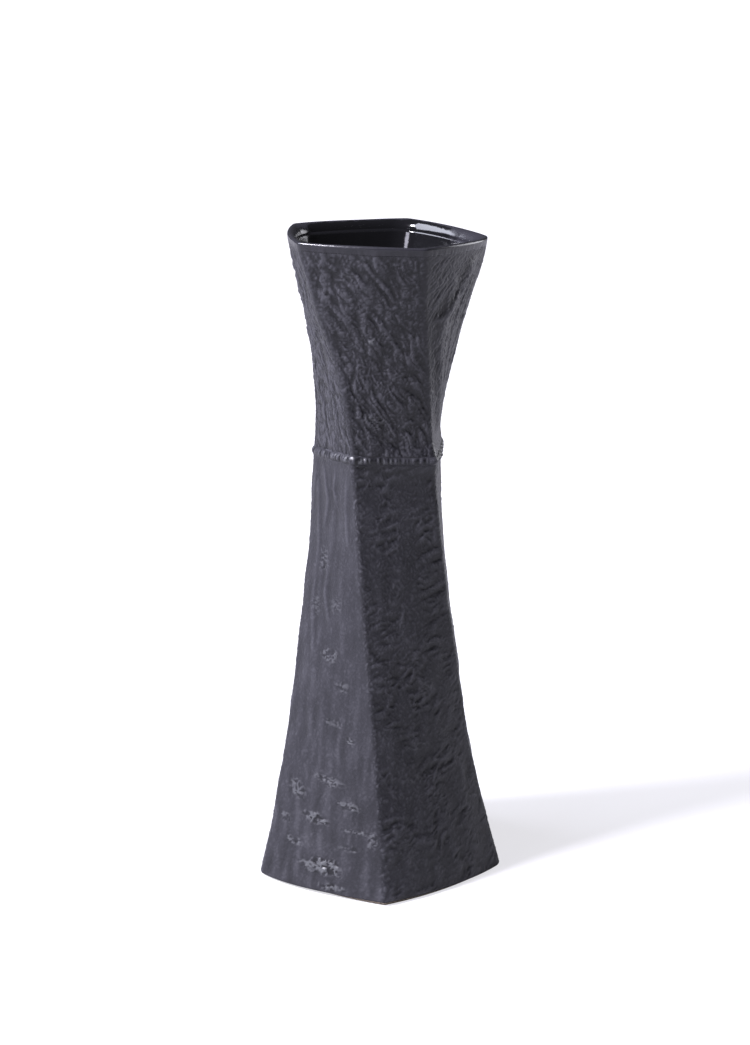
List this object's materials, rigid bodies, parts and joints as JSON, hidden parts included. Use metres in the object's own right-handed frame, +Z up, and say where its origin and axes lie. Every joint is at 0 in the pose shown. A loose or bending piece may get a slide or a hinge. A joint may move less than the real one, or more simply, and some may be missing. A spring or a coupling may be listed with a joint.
{
  "type": "vase",
  "caption": "Tall twisted five-sided stoneware vase with a wide flat base, a pinched seam at its narrow waist and a flared mouth.",
  "frame": {"origin": "on the vase's axis, in the plane its flat foot rests on", "axes": "+Z up along the vase's axis towards the mouth; the first corner of the base points along -Y"},
  "size_m": [0.1436, 0.1418, 0.38],
  "materials": {
    "charcoal_glaze": "satin",
    "black_glaze": "gloss",
    "bare_clay": "matte"
  },
  "bodies": {
    "root": {"base_slab": "bare_clay", "lower_panel_1": "charcoal_glaze", "lower_panel_2": "charcoal_glaze", "lower_panel_3": "charcoal_glaze", "lower_panel_4": "charcoal_glaze", "lower_panel_5": "charcoal_glaze", "lower_corner_coil_1": "bare_clay", "lower_corner_coil_2": "bare_clay", "lower_corner_coil_3": "bare_clay", "lower_corner_coil_4": "bare_clay", "lower_corner_coil_5": "bare_clay", "floor_coil": "bare_clay", "waist_coil": "charcoal_glaze", "upper_panel_1": "charcoal_glaze", "upper_panel_2": "charcoal_glaze", "upper_panel_3": "charcoal_glaze", "upper_panel_4": "charcoal_glaze", "upper_panel_5": "charcoal_glaze", "upper_corner_coil_1": "bare_clay", "upper_corner_coil_2": "bare_clay", "upper_corner_coil_3": "bare_clay", "upper_corner_coil_4": "bare_clay", "upper_corner_coil_5": "bare_clay", "lip_coil": "black_glaze", "inner_glaze": "black_glaze"}
  },
  "joints": []
}
